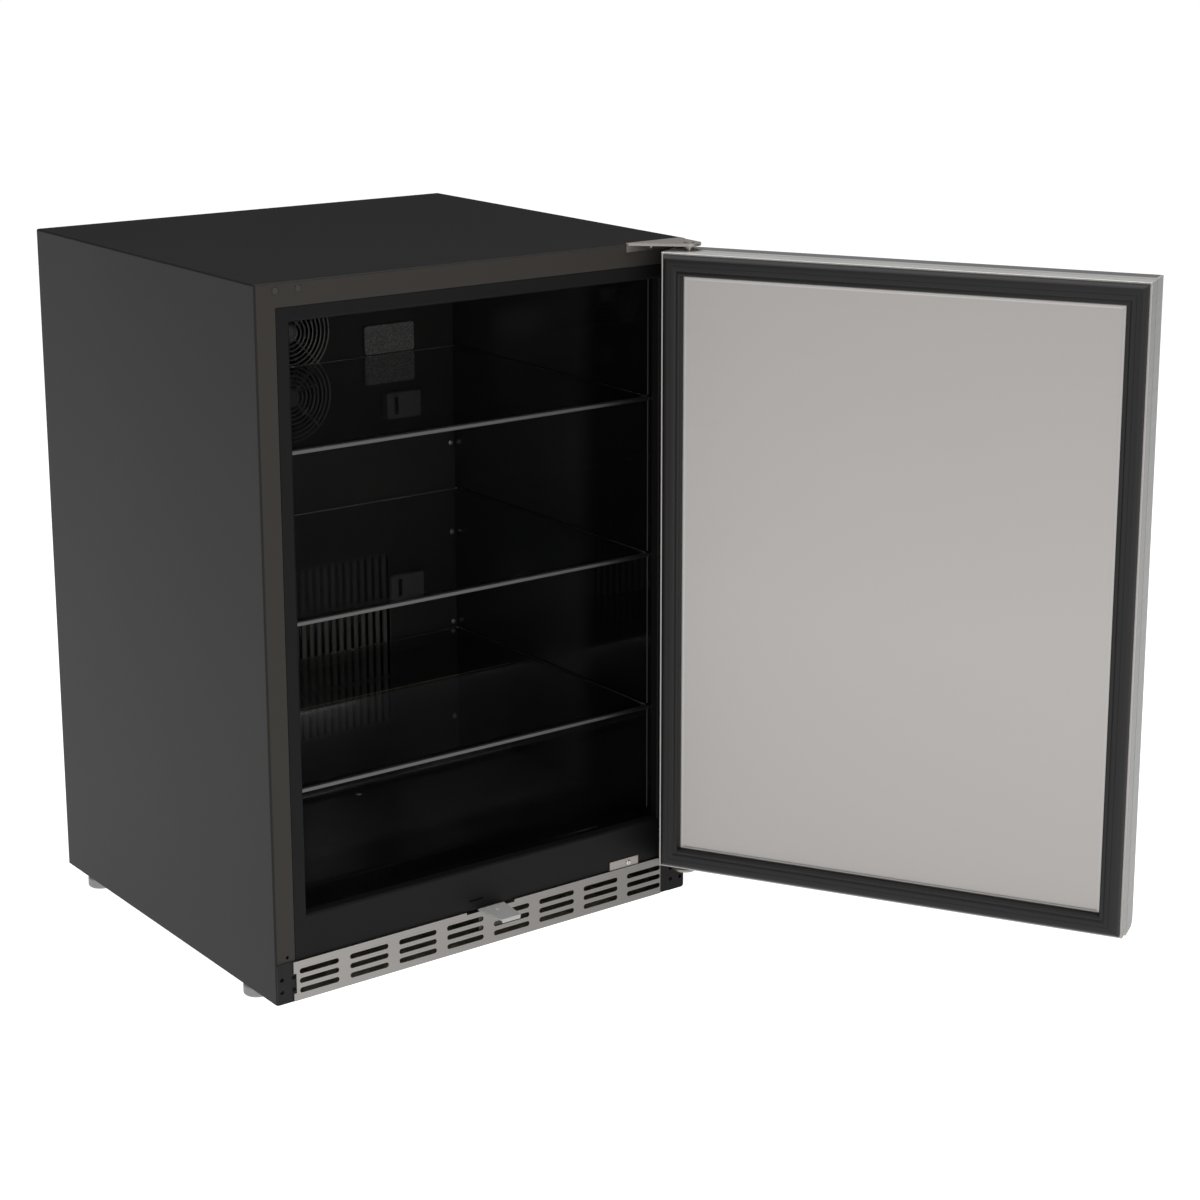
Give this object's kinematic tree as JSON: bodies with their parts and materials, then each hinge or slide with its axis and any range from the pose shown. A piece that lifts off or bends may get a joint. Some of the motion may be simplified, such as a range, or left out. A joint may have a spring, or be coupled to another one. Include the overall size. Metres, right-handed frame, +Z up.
{
  "type": "under-counter refrigerator",
  "caption": "Compact under-counter refrigerator with a black cabinet, glass shelves and a right-hinged stainless door standing open.",
  "frame": {"origin": "on the floor under the centre of the cabinet footprint, door left out", "axes": "+X to the right seen from the front, +Y from the front to the back, +Z up; the door is at the front, on the -Y side, and joint value 0 is the door standing open at 120 degrees"},
  "size_m": [0.9149, 1.0918, 0.866],
  "materials": {
    "case": "satin black paint",
    "zinc": "bare zinc-coated sheet",
    "steel": "brushed",
    "bright_steel": "bright satin",
    "hinge": "satin",
    "black_gloss": "high gloss",
    "black_satin": "satin moulded",
    "trim_grey": "satin grey",
    "black_plastic": "fine texture",
    "grey_plastic": "fine texture",
    "foam": "cut foam",
    "glass": "clear toughened",
    "lens": "frosted",
    "board": "white circuit board",
    "gasket": "matte moulded",
    "rubber": "matte",
    "aluminium": "mill finish",
    "copper": "copper tube",
    "compressor": "gloss black enamel"
  },
  "bodies": {
    "cabinet": {"outer_case": "case", "rear_panel": "zinc", "rear_cover": "zinc", "rear_screws": "bright_steel", "base_pan": "zinc", "foam_insulation": "foam", "front_frame": "black_satin", "inner_liner": "black_gloss", "duct_cover": "black_gloss", "fan_guard": "black_plastic", "cover_screws": "bright_steel", "evaporator_fan_frame": "black_plastic", "evaporator_coil": "aluminium", "lamp_housing": "grey_plastic", "lamp_board": "board", "lamp_lens": "lens", "thermostat_housing": "black_plastic", "kick_plate": "steel", "corner_plate_left": "case", "corner_plate_right": "case", "lock_strike": "bright_steel", "upper_hinge": "hinge", "lower_hinge": "hinge", "upper_hinge_pin": "hinge", "lower_hinge_pin": "hinge", "upper_hinge_screws": "bright_steel", "lower_hinge_screw": "bright_steel", "hinge_plugs": "black_plastic", "compressor": "compressor", "compressor_mounts": "rubber", "condenser_coil": "aluminium", "condenser_fan_frame": "black_plastic", "suction_line": "copper", "drain_tray": "black_plastic", "shelf_glass_1": "glass", "shelf_trim_1": "bright_steel", "shelf_glass_2": "glass", "shelf_trim_2": "bright_steel", "shelf_glass_3": "glass", "shelf_trim_3": "bright_steel"},
    "door": {"door_skin": "steel", "door_top_cap": "trim_grey", "door_inner_pan": "steel", "door_seam_strip": "black_plastic", "door_foam": "foam", "door_gasket": "gasket", "handle_bar": "steel", "handle_post_upper": "steel", "handle_post_lower": "steel", "door_bush_upper": "grey_plastic", "door_bush_lower": "grey_plastic"},
    "evaporator_fan": {"evaporator_fan_blades": "black_plastic"},
    "condenser_fan": {"condenser_fan_blades": "black_plastic"},
    "thermostat": {"thermostat_wheel": "grey_plastic"},
    "foot_front_left_body": {"foot_front_left": "grey_plastic"},
    "foot_front_right_body": {"foot_front_right": "grey_plastic"},
    "foot_back_left_body": {"foot_back_left": "grey_plastic"},
    "foot_back_right_body": {"foot_back_right": "grey_plastic"}
  },
  "joints": [
    {"name": "door_hinge", "type": "hinge", "parent": "cabinet", "child": "door", "pos_m": [0.2689, -0.316, 0.467], "axis": [0, 0, 1], "range_deg": [-120, 15]},
    {"name": "evaporator_fan_spin", "type": "hinge", "parent": "cabinet", "child": "evaporator_fan", "pos_m": [0, 0.195, 0.712], "axis": [0, 1, 0], "continuous": true},
    {"name": "condenser_fan_spin", "type": "hinge", "parent": "cabinet", "child": "condenser_fan", "pos_m": [0.161, 0.225, 0.114], "axis": [0, 1, 0], "continuous": true},
    {"name": "thermostat_turn", "type": "hinge", "parent": "cabinet", "child": "thermostat", "pos_m": [0.156, 0.1785, 0.5955], "axis": [1, 0, 0], "range_deg": [-120, 120]},
    {"name": "foot_front_left_height", "type": "slide", "parent": "cabinet", "child": "foot_front_left_body", "axis": [0, 0, -1], "range_m": [0, 0.012]},
    {"name": "foot_front_right_height", "type": "slide", "parent": "cabinet", "child": "foot_front_right_body", "axis": [0, 0, -1], "range_m": [0, 0.012]},
    {"name": "foot_back_left_height", "type": "slide", "parent": "cabinet", "child": "foot_back_left_body", "axis": [0, 0, -1], "range_m": [0, 0.012]},
    {"name": "foot_back_right_height", "type": "slide", "parent": "cabinet", "child": "foot_back_right_body", "axis": [0, 0, -1], "range_m": [0, 0.012]}
  ]
}
